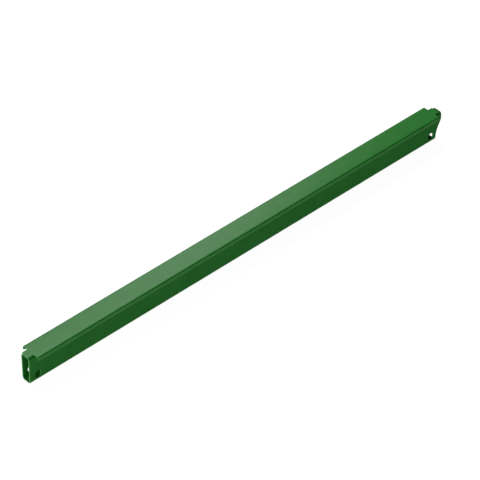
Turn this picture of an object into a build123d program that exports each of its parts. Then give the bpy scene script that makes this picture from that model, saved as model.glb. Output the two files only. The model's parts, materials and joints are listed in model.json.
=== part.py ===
from build123d import *
import math
import os

# A welded beam: a tall box tube with a wider cap strip on top, whose long edges turn down as lips.
# The origin is under the middle of the beam. +X runs along it towards the nose, +Y is its left
# side, +Z is up, and the tube's underside is at Z = 0. All sizes are in millimetres.

# Box tube
beam_length = 1200.0
tube_width = 25.0
tube_height = 70.0
tube_wall = 2.5
tube_corner_radius = 6.0

# Nose: the far end is cut along an S, so that its top overhangs its foot
nose_reach = 16.0
nose_rise = 56.0
nose_round = 23.0

# Cross holes, each through both side walls
pin_diameter = 16.0
pin_clearance = 0.5
near_hole_inset = 21.0
far_hole_inset = 16.0
near_hole_height = 17.0
far_hole_height = 17.5

# Cap strip
cap_width = 50.0
cap_thickness = 3.0
lip_height = 9.5
lip_inside_radius = 0.5
notch_radius = 1.5
near_flange_setback = 15.0
far_flange_setback = 19.5
tongue_inset = 2.0
near_tongue_setback = 1.0
far_tongue_setback = 8.0

# Stitch welds, in the groove between the tube's top corners and the underside of the strip
weld_leg = 3.5
weld_length = 40.0
weld_count = 7
weld_end_margin = 10.0

half_length = beam_length / 2
near_end = -half_length
nose_tip = half_length
foot_end = nose_tip - nose_reach
flange_start = near_end + near_flange_setback
flange_end = nose_tip - far_flange_setback
hole_radius = (pin_diameter + pin_clearance) / 2
strip_top = tube_height + cap_thickness
edge_tolerance = 0.01


def rounded_bar(width, height, radius, bottom):
    """A full-length bar along X with rounded long edges."""
    outline = Plane.YZ.offset(near_end) * Pos(0, bottom + height / 2) * RectangleRounded(
        width, height, radius)
    return extrude(outline, beam_length)


def nose_cutter():
    """Everything past the S line at the far end: an arc away from the foot, then one back.

    The two arcs share a tangent, which gives the foot's radius from the other sizes.
    """
    turn = 2 * math.atan(nose_reach / nose_rise)
    foot_radius = nose_rise / math.sin(turn) - nose_round
    foot = (foot_end, 0)
    foot_centre = (foot_end + foot_radius, 0)
    round_centre = (nose_tip - nose_round, nose_rise)

    def on_foot_arc(angle):
        return (foot_centre[0] - foot_radius * math.cos(angle), foot_radius * math.sin(angle))

    def on_round_arc(angle):
        return (round_centre[0] + nose_round * math.cos(angle),
                nose_rise - nose_round * math.sin(angle))

    top = (nose_tip, nose_rise)
    past_tip = nose_tip + nose_reach
    above = strip_top + nose_reach
    with BuildPart() as cutter:
        with BuildSketch(Plane.XZ):
            with BuildLine():
                ThreePointArc(foot, on_foot_arc(turn / 2), on_foot_arc(turn))
                ThreePointArc(on_round_arc(turn), on_round_arc(turn / 2), top)
                Polyline(top, (nose_tip, above), (past_tip, above), (past_tip, -nose_reach),
                         (foot_end, -nose_reach), foot)
            make_face()
        extrude(amount=tube_width, both=True)
    return cutter.part


def cross_hole(x, height):
    """A round hole along Y, through both side walls."""
    return Pos(x, 0, height) * Rot(90, 0, 0) * Cylinder(hole_radius, 2 * tube_width)


def make_tube():
    bore_width = tube_width - 2 * tube_wall
    bore_height = tube_height - 2 * tube_wall
    outside = rounded_bar(tube_width, tube_height, tube_corner_radius, 0)
    bore = rounded_bar(bore_width, bore_height, tube_corner_radius - tube_wall, tube_wall)
    tube = outside - bore - nose_cutter()
    tube -= cross_hole(near_end + near_hole_inset, near_hole_height)
    tube -= cross_hole(foot_end - far_hole_inset, far_hole_height)
    return tube


def channel(width, height, radius):
    """A bar as long as the flanges, with its two upper long edges rounded."""
    bottom = strip_top - lip_height
    length = flange_end - flange_start
    bar = Pos((flange_start + flange_end) / 2, 0, bottom + height / 2) * Box(length, width, height)
    upper_edges = bar.edges().filter_by(Axis.X).group_by(Axis.Z)[-1]
    return fillet(upper_edges, radius)


def make_cap():
    folded = channel(cap_width, lip_height, lip_inside_radius + cap_thickness)
    folded -= channel(cap_width - 2 * cap_thickness, lip_height - cap_thickness, lip_inside_radius)
    tongue_start = near_end + near_tongue_setback
    tongue_end = nose_tip - far_tongue_setback
    tongue_width = tube_width - 2 * tongue_inset
    tongue = Pos((tongue_start + tongue_end) / 2, 0, tube_height + cap_thickness / 2) * Box(
        tongue_end - tongue_start, tongue_width, cap_thickness)
    cap = folded + tongue
    beside_tongue = [edge for edge in cap.edges().filter_by(Axis.Z)
                     if abs(abs(edge.center().Y) - tongue_width / 2) < edge_tolerance]
    notch_corners = [edge for edge in beside_tongue
                     if min(abs(edge.center().X - flange_start),
                            abs(edge.center().X - flange_end)) < edge_tolerance]
    return fillet(notch_corners, notch_radius)


def make_welds(side):
    """The row of stitches under one flange, cut to the outside of the tube."""
    inner_y = tube_width / 2 - tube_corner_radius
    outer_y = tube_width / 2 + weld_leg
    low_z = tube_height - tube_corner_radius - weld_leg
    first = flange_start + weld_end_margin
    last = flange_end - weld_end_margin - weld_length
    pitch = (last - first) / (weld_count - 1)
    outside = rounded_bar(tube_width, tube_height, tube_corner_radius, 0)
    stitches = []
    for number in range(weld_count):
        outline = Plane.YZ.offset(first + number * pitch) * make_face(Polyline(
            (side * inner_y, tube_height), (side * outer_y, tube_height),
            (side * tube_width / 2, low_z), (side * inner_y, low_z), close=True))
        stitches.append(extrude(outline, weld_length) - outside)
    return Compound(children=[solid for stitch in stitches for solid in stitch.solids()])


nodes = {
    "box_tube": make_tube(),
    "cap_strip": make_cap(),
    "left_stitch_welds": make_welds(1),
    "right_stitch_welds": make_welds(-1),
}

os.makedirs("parts", exist_ok=True)
for name, shape in nodes.items():
    export_step(shape, f"parts/{name}.step")
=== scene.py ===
# Looks for the flanged box beam: painted steel, rippled weld beads and a soft studio.
import json
import math
import random

import bmesh
import bpy
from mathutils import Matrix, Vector


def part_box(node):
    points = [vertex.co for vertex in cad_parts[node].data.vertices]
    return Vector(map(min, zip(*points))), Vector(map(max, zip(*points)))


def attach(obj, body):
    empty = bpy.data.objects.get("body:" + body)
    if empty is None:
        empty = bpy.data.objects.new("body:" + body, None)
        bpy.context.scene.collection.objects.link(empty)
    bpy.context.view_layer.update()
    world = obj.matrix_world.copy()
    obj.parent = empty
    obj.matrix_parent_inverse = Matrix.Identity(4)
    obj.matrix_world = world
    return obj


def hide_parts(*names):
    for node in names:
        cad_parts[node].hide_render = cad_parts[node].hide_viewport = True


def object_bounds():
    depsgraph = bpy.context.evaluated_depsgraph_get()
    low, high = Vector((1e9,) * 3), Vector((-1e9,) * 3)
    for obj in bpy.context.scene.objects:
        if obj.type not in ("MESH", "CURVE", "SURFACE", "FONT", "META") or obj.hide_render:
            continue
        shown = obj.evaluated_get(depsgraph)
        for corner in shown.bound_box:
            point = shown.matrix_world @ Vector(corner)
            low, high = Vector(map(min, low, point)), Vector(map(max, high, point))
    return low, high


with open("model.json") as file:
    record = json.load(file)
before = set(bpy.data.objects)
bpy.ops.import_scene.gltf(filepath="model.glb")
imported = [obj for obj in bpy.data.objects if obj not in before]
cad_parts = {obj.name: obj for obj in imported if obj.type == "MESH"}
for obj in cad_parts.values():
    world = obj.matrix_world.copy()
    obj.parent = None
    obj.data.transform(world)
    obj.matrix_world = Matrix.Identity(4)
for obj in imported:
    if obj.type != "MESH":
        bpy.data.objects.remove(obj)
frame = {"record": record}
cad_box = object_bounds()
MM = 0.001

# Camera, as seen from the open end's right-hand side
VIEW_AZIMUTH = -42.87
VIEW_ELEVATION = 40.35
VIEW_DISTANCE = 6.214
IMAGE_WIDTH = 480
FOCAL_PIXELS = 2897
SENSOR_WIDTH = 36.0
VIEW_SHIFT = (-0.0032, -0.0030)
CLIP_RANGE = (0.1, 100.0)

# Tube
TUBE_WALL = 2.5 * MM
TUBE_CORNER = 6.0 * MM
NOSE_REACH = 16.0 * MM
NOSE_RISE = 56.0 * MM
NOSE_ROUND = 23.0 * MM

# Cap strip
LIP_BEND = 3.5 * MM
NOTCH_ROUND = 1.5 * MM
NEAR_FLANGE_SETBACK = 15.0 * MM
FAR_FLANGE_SETBACK = 19.5 * MM
TONGUE_INSET = 2.0 * MM

# Rounding of the cut edges
EDGE_ROUND = 0.3 * MM
EDGE_SEGMENTS = 3
EDGE_ANGLE = 35

# Weld stitches
WELD_COUNT = 7
WELD_LENGTH = 40.0 * MM
WELD_LEG = 3.5 * MM
BEAD_ROWS = 150
BEAD_STEPS = 12
BEAD_END = 3.5 * MM
BEAD_CROWN = 0.35 * MM
BULGE_OUT, BULGE_DOWN = 0.8, 0.6
LEAST_REACH = 0.02
ROOT_STEPS = 5
RIPPLE_PITCH = 1.6 * MM
RIPPLE_HEIGHT = 0.22 * MM
RIPPLE_CURVE = 1.2 * MM
PITCH_JITTER = (0.75, 1.25)
HEIGHT_JITTER = (0.6, 1.2)

# Steps in the outlines
ARC_STEPS = 12
HOLE_STEPS = 64
MERGE_DISTANCE = 1e-7

# Paint: a deep and a light green for each surface
TUBE_DEEP = (0.014, 0.170, 0.018)
TUBE_LIGHT = (0.018, 0.188, 0.022)
# Painted light: the strip's greens are lighter than the tube's, so its top and lips read lit against the
# shaded tube side.
STRIP_PAINTED_LIGHT_DEEP = (0.021, 0.212, 0.025)
STRIP_PAINTED_LIGHT_PALE = (0.025, 0.232, 0.030)
# Painted shade: a darker green for the lower half of the lip folds and for the flange ends.
FOLD_SHADE_DEEP = (0.015, 0.165, 0.020)
FOLD_SHADE_LIGHT = (0.019, 0.185, 0.024)
# Painted highlight: a lighter, greyer green on the outer faces of the lips.
LIP_HIGHLIGHT_DEEP = (0.044, 0.240, 0.048)
LIP_HIGHLIGHT_LIGHT = (0.054, 0.265, 0.058)
# Painted sheen: a lighter, greyer green on the cut ends and rounded edges, in place of light caught there.
EDGE_SHEEN_DEEP = (0.060, 0.225, 0.064)
EDGE_SHEEN_LIGHT = (0.080, 0.255, 0.084)
WELD_DEEP = (0.014, 0.162, 0.018)
WELD_LIGHT = (0.020, 0.195, 0.024)
PAINT_IOR = 1.5
SPECULAR = 0.25
ROUGHNESS = 0.34
ROUGHNESS_SPREAD = 0.03
EDGE_ROUGHNESS = ROUGHNESS - 0.04
WELD_ROUGHNESS = ROUGHNESS + 0.05
WELD_GRAIN = 1.6

# Paint texture: noise scales are per metre
TONE_SCALE, TONE_DETAIL, TONE_ROUGHNESS = 28, 4, 0.6
GLOSS_SCALE, GLOSS_DETAIL = 160, 3
PEEL_SCALE, PEEL_DETAIL = 650, 2
PEEL_STRENGTH = 0.25
PEEL_HEIGHT = 0.03 * MM
NIB_SCALE = 130
NIB_RADIUS = 0.06
NIB_STRENGTH = 0.3
NIB_HEIGHT = 0.05 * MM

# Which faces get the end paint's painted sheen, the fold paint's painted shade and the lip paint's painted
# highlight, by their normals
CUT_END_NORMAL = 0.8
FOLD_NORMAL_LOW, FOLD_NORMAL_HIGH = 0.1, 0.75
LIP_NORMAL = 0.99

# Studio
FLOOR_SEGMENTS = 8
FLOOR_HALF_SIZE = 12
FLOOR_GAP = 0.05 * MM
FLOOR_GREY = 0.2
FLOOR_ROUGHNESS = 0.9
FLOOR_GLOW = 0.95
SKY = 1.0

tube_low, tube_high = (Vector(corner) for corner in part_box("box_tube"))
cap_low, cap_high = (Vector(corner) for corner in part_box("cap_strip"))
near_end, nose_tip = tube_low.x, tube_high.x
foot_end = nose_tip - NOSE_REACH
tube_half = tube_high.y
tube_top = tube_high.z
cap_half = cap_high.y
cap_top = cap_high.z
cap_thickness = cap_top - tube_top
flange_start = near_end + NEAR_FLANGE_SETBACK
flange_end = nose_tip - FAR_FLANGE_SETBACK
tongue_half = tube_half - TONGUE_INSET
bores = [mount for mount in frame["record"]["mounts"] if mount["kind"] == "bore"]


# ---------------------------------------------------------------- outlines

def arc(centre, radius, start, stop, steps=ARC_STEPS):
    """Points on an arc, from start to stop in degrees."""
    turns = [math.radians(start + (stop - start) * k / steps) for k in range(steps + 1)]
    return [(centre[0] + radius * math.cos(t), centre[1] + radius * math.sin(t)) for t in turns]


def rounded_outline(half_width, bottom, top, radius):
    """A (y, z) rectangle with rounded corners."""
    right, left = -half_width + radius, half_width - radius
    return (arc((left, bottom + radius), radius, -90, 0) + arc((left, top - radius), radius, 0, 90)
            + arc((right, top - radius), radius, 90, 180)
            + arc((right, bottom + radius), radius, 180, 270))


def folded_outline():
    """The (y, z) section of the strip: flat on top, with a lip bent down along both sides."""
    outer, inner = LIP_BEND, LIP_BEND - cap_thickness
    side, bend_z = cap_half - LIP_BEND, cap_top - LIP_BEND
    skin = (arc((side, bend_z), outer, 0, 90) + arc((-side, bend_z), outer, 90, 180))
    skin = [(cap_half, cap_low.z)] + skin + [(-cap_half, cap_low.z)]
    under = (arc((-side, bend_z), inner, 180, 90) + arc((side, bend_z), inner, 90, 0))
    lip_in = cap_half - cap_thickness
    return skin + [(-lip_in, cap_low.z)] + under + [(lip_in, cap_low.z)]


def nose_outline():
    """The (x, z) outline of what the S cut takes away beyond the nose."""
    turn = 2 * math.atan(NOSE_REACH / NOSE_RISE)
    degrees = math.degrees(turn)
    foot_radius = NOSE_RISE / math.sin(turn) - NOSE_ROUND
    foot_arc = arc((foot_end + foot_radius, 0), foot_radius, 180, 180 - degrees, 2 * ARC_STEPS)
    tip_arc = arc((nose_tip - NOSE_ROUND, NOSE_RISE), NOSE_ROUND, -degrees, 0, 2 * ARC_STEPS)
    past, above = nose_tip + NOSE_REACH, cap_top + NOSE_REACH
    return (foot_arc + tip_arc[1:]
            + [(nose_tip, above), (past, above), (past, -NOSE_REACH), (foot_end, -NOSE_REACH)])


def notch_outline(inner_x, outer_x, side):
    """The (x, y) outline of one corner cut out of the strip, rounded where it meets the tongue."""
    along = 1 if inner_x > outer_x else -1
    centre = (inner_x - along * NOTCH_ROUND, side * (tongue_half + NOTCH_ROUND))
    start = 0 if along > 0 else 180
    stop = -90 * side if along > 0 else 180 + 90 * side
    outer_y = side * (cap_half + NOTCH_ROUND)
    return ([(outer_x, outer_y), (inner_x, outer_y)] + arc(centre, NOTCH_ROUND, start, stop)
            + [(outer_x, side * tongue_half)])


# ---------------------------------------------------------------- solids

def prism(outline, place, start, stop):
    """A closed bmesh solid: the outline, placed by place(a, b, along), from start to stop."""
    mesh = bmesh.new()
    first = [mesh.verts.new(place(a, b, start)) for a, b in outline]
    last = [mesh.verts.new(place(a, b, stop)) for a, b in outline]
    count = len(outline)
    mesh.faces.new(first)
    mesh.faces.new(reversed(last))
    for k in range(count):
        after = (k + 1) % count
        mesh.faces.new((first[after], first[k], last[k], last[after]))
    bmesh.ops.remove_doubles(mesh, verts=mesh.verts, dist=MERGE_DISTANCE)
    bmesh.ops.recalc_face_normals(mesh, faces=mesh.faces)
    return mesh


def along_x(y, z, x):
    return (x, y, z)


def along_y(x, z, y):
    return (x, y, z)


def along_z(x, y, z):
    return (x, y, z)


def as_object(name, mesh):
    data = bpy.data.meshes.new(name)
    mesh.to_mesh(data)
    mesh.free()
    made = bpy.data.objects.new(name, data)
    bpy.context.scene.collection.objects.link(made)
    return made


def apply_modifiers(piece):
    graph = bpy.context.evaluated_depsgraph_get()
    finished = bpy.data.meshes.new_from_object(piece.evaluated_get(graph))
    piece.modifiers.clear()
    piece.data = finished


def cut_away(piece, cutters):
    """Takes each cutter out of the piece, and removes the cutter."""
    for cutter in cutters:
        modifier = piece.modifiers.new("cut", "BOOLEAN")
        modifier.operation = "DIFFERENCE"
        modifier.solver = "EXACT"
        modifier.object = cutter
        apply_modifiers(piece)
        bpy.data.objects.remove(cutter)


def soften_edges(piece):
    """Rounds sharp edges, giving the rounding material 1 (the edge paint with its painted sheen), and
    smooths the shading. On the tube it comes out almost flat.
    """
    modifier = piece.modifiers.new("edges", "BEVEL")
    modifier.width = EDGE_ROUND
    modifier.segments = EDGE_SEGMENTS
    modifier.limit_method = "ANGLE"
    modifier.angle_limit = math.radians(EDGE_ANGLE)
    modifier.harden_normals = True
    modifier.material = 1
    for polygon in piece.data.polygons:
        polygon.use_smooth = True
    apply_modifiers(piece)


def make_tube():
    outside = rounded_outline(tube_half, tube_low.z, tube_top, TUBE_CORNER)
    inside = rounded_outline(tube_half - TUBE_WALL, tube_low.z + TUBE_WALL, tube_top - TUBE_WALL,
                             TUBE_CORNER - TUBE_WALL)
    tube = as_object("box_tube_body", prism(outside, along_x, near_end, nose_tip))
    clear = TUBE_CORNER
    cutters = [as_object("bore", prism(inside, along_x, near_end - clear, nose_tip + clear)),
               as_object("nose_cut", prism(nose_outline(), along_y, -2 * tube_half, 2 * tube_half))]
    for bore in bores:
        x, _, z = bore["pos_m"]
        circle = arc((x, z), bore["dims"]["r_mm"] * MM, 0, 360, HOLE_STEPS)[:-1]
        cutters.append(as_object("hole", prism(circle, along_y, -2 * tube_half, 2 * tube_half)))
    cut_away(tube, cutters)
    return tube


def make_strip():
    strip = as_object("cap_strip_sheet", prism(folded_outline(), along_x, cap_low.x, cap_high.x))
    clear = TUBE_CORNER
    cutters = []
    for inner_x, outer_x in ((flange_start, cap_low.x - clear), (flange_end, cap_high.x + clear)):
        for side in (-1, 1):
            outline = notch_outline(inner_x, outer_x, side)
            cutters.append(as_object("notch", prism(outline, along_z, cap_low.z - clear, cap_top + clear)))
    cut_away(strip, cutters)
    return strip


# ---------------------------------------------------------------- weld beads

def bead_ring(side, x, reach, ripple):
    """One ring round a bead: its rippled face from the strip to the tube, and its hidden root."""
    root_centre = (tube_half - TUBE_CORNER, tube_top - TUBE_CORNER)
    root = arc(root_centre, TUBE_CORNER, 0, 90, ROOT_STEPS)
    foot = (tube_half, tube_top - TUBE_CORNER - WELD_LEG)
    toe = (tube_half + WELD_LEG, tube_top)
    middle = root[len(root) // 2]
    ring = []
    for k in range(BEAD_STEPS + 1):
        across = k / BEAD_STEPS
        swell = math.sin(math.pi * across)
        y = toe[0] + (foot[0] - toe[0]) * across
        z = toe[1] + (foot[1] - toe[1]) * across
        bulge = (BEAD_CROWN + ripple(across)) * swell
        y, z = y + BULGE_OUT * bulge, z - BULGE_DOWN * bulge
        ring.append((middle[0] + (y - middle[0]) * reach,
                     min(middle[1] + (z - middle[1]) * reach, tube_top)))
    ring += root
    return [(x, side * y, z) for y, z in ring]


def make_bead(mesh, side, start, seed):
    """Adds one stitch: arc-welded ripples, a rounded start and a rounded end."""
    jitter = random.Random(seed)
    marks = [start]
    while marks[-1] < start + WELD_LENGTH:
        marks.append(marks[-1] + RIPPLE_PITCH * jitter.uniform(*PITCH_JITTER))
    heights = [RIPPLE_HEIGHT * jitter.uniform(*HEIGHT_JITTER) for _ in marks]

    def ripple_at(x):
        def ripple(across):
            behind = x + RIPPLE_CURVE * (2 * across - 1) ** 2
            index = max(k for k, mark in enumerate(marks) if mark <= max(behind, start))
            span = marks[min(index + 1, len(marks) - 1)] - marks[index] or RIPPLE_PITCH
            phase = min(max((behind - marks[index]) / span, 0), 1)
            return heights[index] * (math.sin(math.pi * phase) - 0.5)
        return ripple

    rings = []
    for row in range(BEAD_ROWS + 1):
        x = start + WELD_LENGTH * row / BEAD_ROWS
        from_end = min(x - start, start + WELD_LENGTH - x) / BEAD_END
        reach = math.sqrt(max(1 - (1 - min(from_end, 1)) ** 2, LEAST_REACH))
        ring = bead_ring(side, x, reach, ripple_at(x))
        rings.append([mesh.verts.new(point) for point in ring])
    count = len(rings[0])
    for first, second in zip(rings, rings[1:]):
        for k in range(count):
            after = (k + 1) % count
            mesh.faces.new((first[k], first[after], second[after], second[k]))
    mesh.faces.new(rings[0])
    mesh.faces.new(reversed(rings[-1]))


def make_beads(name, node, side):
    low, high = (Vector(corner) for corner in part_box(node))
    pitch = (high.x - low.x - WELD_LENGTH) / (WELD_COUNT - 1)
    mesh = bmesh.new()
    for number in range(WELD_COUNT):
        make_bead(mesh, side, low.x + number * pitch, f"{name} {number}")
    bmesh.ops.recalc_face_normals(mesh, faces=mesh.faces)
    beads = as_object(name, mesh)
    for polygon in beads.data.polygons:
        polygon.use_smooth = True
    return beads


# ---------------------------------------------------------------- paint

def powder_coat(name, deep, light, rough, grain=1.0):
    """Satin green powder coat: slow tone drift, fine orange peel and a few nibs under the film."""
    material = bpy.data.materials.new(name)
    material.use_nodes = True
    nodes, links = material.node_tree.nodes, material.node_tree.links
    shader = nodes["Principled BSDF"]
    shader.inputs["IOR"].default_value = PAINT_IOR
    shader.inputs["Specular IOR Level"].default_value = SPECULAR
    place = nodes.new("ShaderNodeTexCoord").outputs["Object"]

    def noise(scale, detail, roughness=0.5):
        texture = nodes.new("ShaderNodeTexNoise")
        texture.inputs["Scale"].default_value = scale
        texture.inputs["Detail"].default_value = detail
        texture.inputs["Roughness"].default_value = roughness
        links.new(place, texture.inputs["Vector"])
        return texture.outputs["Fac"]

    def spread(value, low, high, start=0.3, stop=0.7):
        """Maps the range from start to stop onto the range from low to high."""
        ramp = nodes.new("ShaderNodeMapRange")
        ramp.inputs["From Min"].default_value = start
        ramp.inputs["From Max"].default_value = stop
        ramp.inputs["To Min"].default_value = low
        ramp.inputs["To Max"].default_value = high
        links.new(value, ramp.inputs["Value"])
        return ramp.outputs["Result"]

    tone = nodes.new("ShaderNodeMix")
    tone.data_type = "RGBA"
    tone.inputs["A"].default_value = (*deep, 1)
    tone.inputs["B"].default_value = (*light, 1)
    drift = noise(TONE_SCALE, TONE_DETAIL, TONE_ROUGHNESS)
    links.new(spread(drift, 0, 1), tone.inputs["Factor"])
    links.new(tone.outputs["Result"], shader.inputs["Base Color"])
    gloss = spread(noise(GLOSS_SCALE, GLOSS_DETAIL), rough - ROUGHNESS_SPREAD, rough + ROUGHNESS_SPREAD)
    links.new(gloss, shader.inputs["Roughness"])

    peel = nodes.new("ShaderNodeBump")
    peel.inputs["Strength"].default_value = PEEL_STRENGTH * grain
    peel.inputs["Distance"].default_value = PEEL_HEIGHT
    links.new(noise(PEEL_SCALE, PEEL_DETAIL), peel.inputs["Height"])
    nibs = nodes.new("ShaderNodeTexVoronoi")
    nibs.inputs["Scale"].default_value = NIB_SCALE
    links.new(place, nibs.inputs["Vector"])
    raised = nodes.new("ShaderNodeBump")
    raised.inputs["Strength"].default_value = NIB_STRENGTH * grain
    raised.inputs["Distance"].default_value = NIB_HEIGHT
    links.new(spread(nibs.outputs["Distance"], 1, 0, 0.0, NIB_RADIUS), raised.inputs["Height"])
    links.new(peel.outputs["Normal"], raised.inputs["Normal"])
    links.new(raised.outputs["Normal"], shader.inputs["Normal"])
    return material


tube_paint = powder_coat("green_paint_tube", TUBE_DEEP, TUBE_LIGHT, ROUGHNESS)
# Strip paint: the same green as the tube, lightened as painted light.
strip_paint_with_painted_light = powder_coat("green_paint_strip_painted_light", STRIP_PAINTED_LIGHT_DEEP, STRIP_PAINTED_LIGHT_PALE, ROUGHNESS)
# Fold paint: the tube green darkened as painted shade.
fold_shade_paint = powder_coat("green_paint_folds_painted_shade", FOLD_SHADE_DEEP, FOLD_SHADE_LIGHT, ROUGHNESS)
# Lip paint: the strip green lightened as a painted highlight.
lip_highlight_paint = powder_coat("green_paint_lips_painted_highlight", LIP_HIGHLIGHT_DEEP, LIP_HIGHLIGHT_LIGHT, ROUGHNESS)
# Edge paint: a lighter, greyer green as painted sheen.
edge_sheen_paint = powder_coat("green_paint_edges_painted_sheen", EDGE_SHEEN_DEEP, EDGE_SHEEN_LIGHT, EDGE_ROUGHNESS)
weld_paint = powder_coat("green_paint_welds", WELD_DEEP, WELD_LIGHT, WELD_ROUGHNESS, WELD_GRAIN)


def paint_faces(piece, paint, chosen):
    """Gives another paint to the faces whose centre and normal are chosen."""
    if paint.name not in piece.data.materials:
        piece.data.materials.append(paint)
    index = piece.data.materials.find(paint.name)
    for polygon in piece.data.polygons:
        if chosen(polygon.center, polygon.normal):
            polygon.material_index = index


def is_cut_end(centre, normal):
    return abs(normal.x) > CUT_END_NORMAL


def is_flange_end(centre, normal):
    return is_cut_end(centre, normal) and abs(centre.y) > tongue_half + NOTCH_ROUND


# Picks the lower half of each lip fold, which gets the painted shade.
def is_lower_fold(centre, normal):
    faces_out_and_up = FOLD_NORMAL_LOW < normal.z < FOLD_NORMAL_HIGH
    return abs(centre.y) > cap_half - LIP_BEND and faces_out_and_up and abs(normal.x) < 0.1


def is_lip(centre, normal):
    return abs(centre.y) > cap_half - EDGE_ROUND and abs(normal.y) > LIP_NORMAL


def finish_sheet(piece, node, paint):
    """Paints a sheet-metal piece, with the edge paint's painted sheen on its rounded edges and cut ends,
    and puts it in its CAD node's place.
    """
    piece.data.materials.append(paint)
    piece.data.materials.append(edge_sheen_paint)
    soften_edges(piece)
    # Painted sheen: the cut end faces get the lighter edge green.
    paint_faces(piece, edge_sheen_paint, is_cut_end)
    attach(piece, "root")
    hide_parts(node)
    return piece


finish_sheet(make_tube(), "box_tube", tube_paint)
# The strip gets its lighter green: painted light over the tube's.
strip = finish_sheet(make_strip(), "cap_strip", strip_paint_with_painted_light)
# Painted shade: the lower folds and the flange ends get the darker fold green.
paint_faces(strip, fold_shade_paint, is_lower_fold)
paint_faces(strip, fold_shade_paint, is_flange_end)
# Painted highlight: the lips' outer faces get the lighter lip green.
paint_faces(strip, lip_highlight_paint, is_lip)
for bead_name, bead_node, bead_side in (("left_weld_beads", "left_stitch_welds", 1),
                                        ("right_weld_beads", "right_stitch_welds", -1)):
    beads = make_beads(bead_name, bead_node, bead_side)
    beads.data.materials.append(weld_paint)
    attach(beads, "root")
    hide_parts(bead_node)


# ---------------------------------------------------------------- studio

def make_camera():
    target = (Vector(cad_box[0]) + Vector(cad_box[1])) / 2
    turn, lift = math.radians(VIEW_AZIMUTH), math.radians(VIEW_ELEVATION)
    back = Vector((math.sin(turn) * math.cos(lift), -math.cos(turn) * math.cos(lift), math.sin(lift)))
    data = bpy.data.cameras.new("camera")
    data.sensor_width = SENSOR_WIDTH
    data.lens = FOCAL_PIXELS / IMAGE_WIDTH * SENSOR_WIDTH
    data.shift_x, data.shift_y = VIEW_SHIFT
    data.clip_start, data.clip_end = CLIP_RANGE
    camera = bpy.data.objects.new("camera", data)
    camera.location = target + back * VIEW_DISTANCE
    camera.rotation_mode = "QUATERNION"
    camera.rotation_quaternion = (-back).to_track_quat("-Z", "Y")
    bpy.context.scene.collection.objects.link(camera)
    bpy.context.scene.camera = camera


def make_floor():
    mesh = bmesh.new()
    bmesh.ops.create_grid(mesh, x_segments=FLOOR_SEGMENTS, y_segments=FLOOR_SEGMENTS,
                          size=FLOOR_HALF_SIZE)
    floor = as_object("floor", mesh)
    floor.location.z = tube_low.z - FLOOR_GAP
    material = bpy.data.materials.new("pale_floor")
    material.use_nodes = True
    shader = material.node_tree.nodes["Principled BSDF"]
    shader.inputs["Base Color"].default_value = (FLOOR_GREY, FLOOR_GREY, FLOOR_GREY, 1)
    shader.inputs["Roughness"].default_value = FLOOR_ROUGHNESS
    shader.inputs["Specular IOR Level"].default_value = 0.0
    shader.inputs["Emission Color"].default_value = (1, 1, 1, 1)
    shader.inputs["Emission Strength"].default_value = FLOOR_GLOW
    floor.data.materials.append(material)
    floor.visible_glossy = False


def area_light(name, place, aim, size, power):
    data = bpy.data.lights.new(name, "AREA")
    data.shape = "DISK"
    data.size = size
    data.energy = power
    lamp = bpy.data.objects.new(name, data)
    lamp.location = place
    lamp.rotation_mode = "QUATERNION"
    lamp.rotation_quaternion = (Vector(aim) - Vector(place)).to_track_quat("-Z", "Y")
    bpy.context.scene.collection.objects.link(lamp)
    return lamp


make_camera()
make_floor()
end_light = area_light("key_towards_open_end", place=(-5.4, -0.4, 0.9), aim=(0, 0, 0), size=1.0,
                       power=260)
end_light.visible_glossy = False
area_light("top_from_behind", place=(0.6, 2.4, 4.2), aim=(0, 0, 0), size=1.6, power=132)
area_light("sheen_behind", place=(1.4, 1.74, 2.0), aim=(-0.15, 0, 0), size=0.8, power=11)

world = bpy.data.worlds.new("sky")
world.use_nodes = True
sky = world.node_tree.nodes["Background"]
sky.inputs["Color"].default_value = (1, 1, 1, 1)
sky.inputs["Strength"].default_value = SKY
bpy.context.scene.world = world
world.cycles_visibility.diffuse = False
world.cycles_visibility.glossy = False
bpy.context.scene.view_settings.view_transform = "Standard"
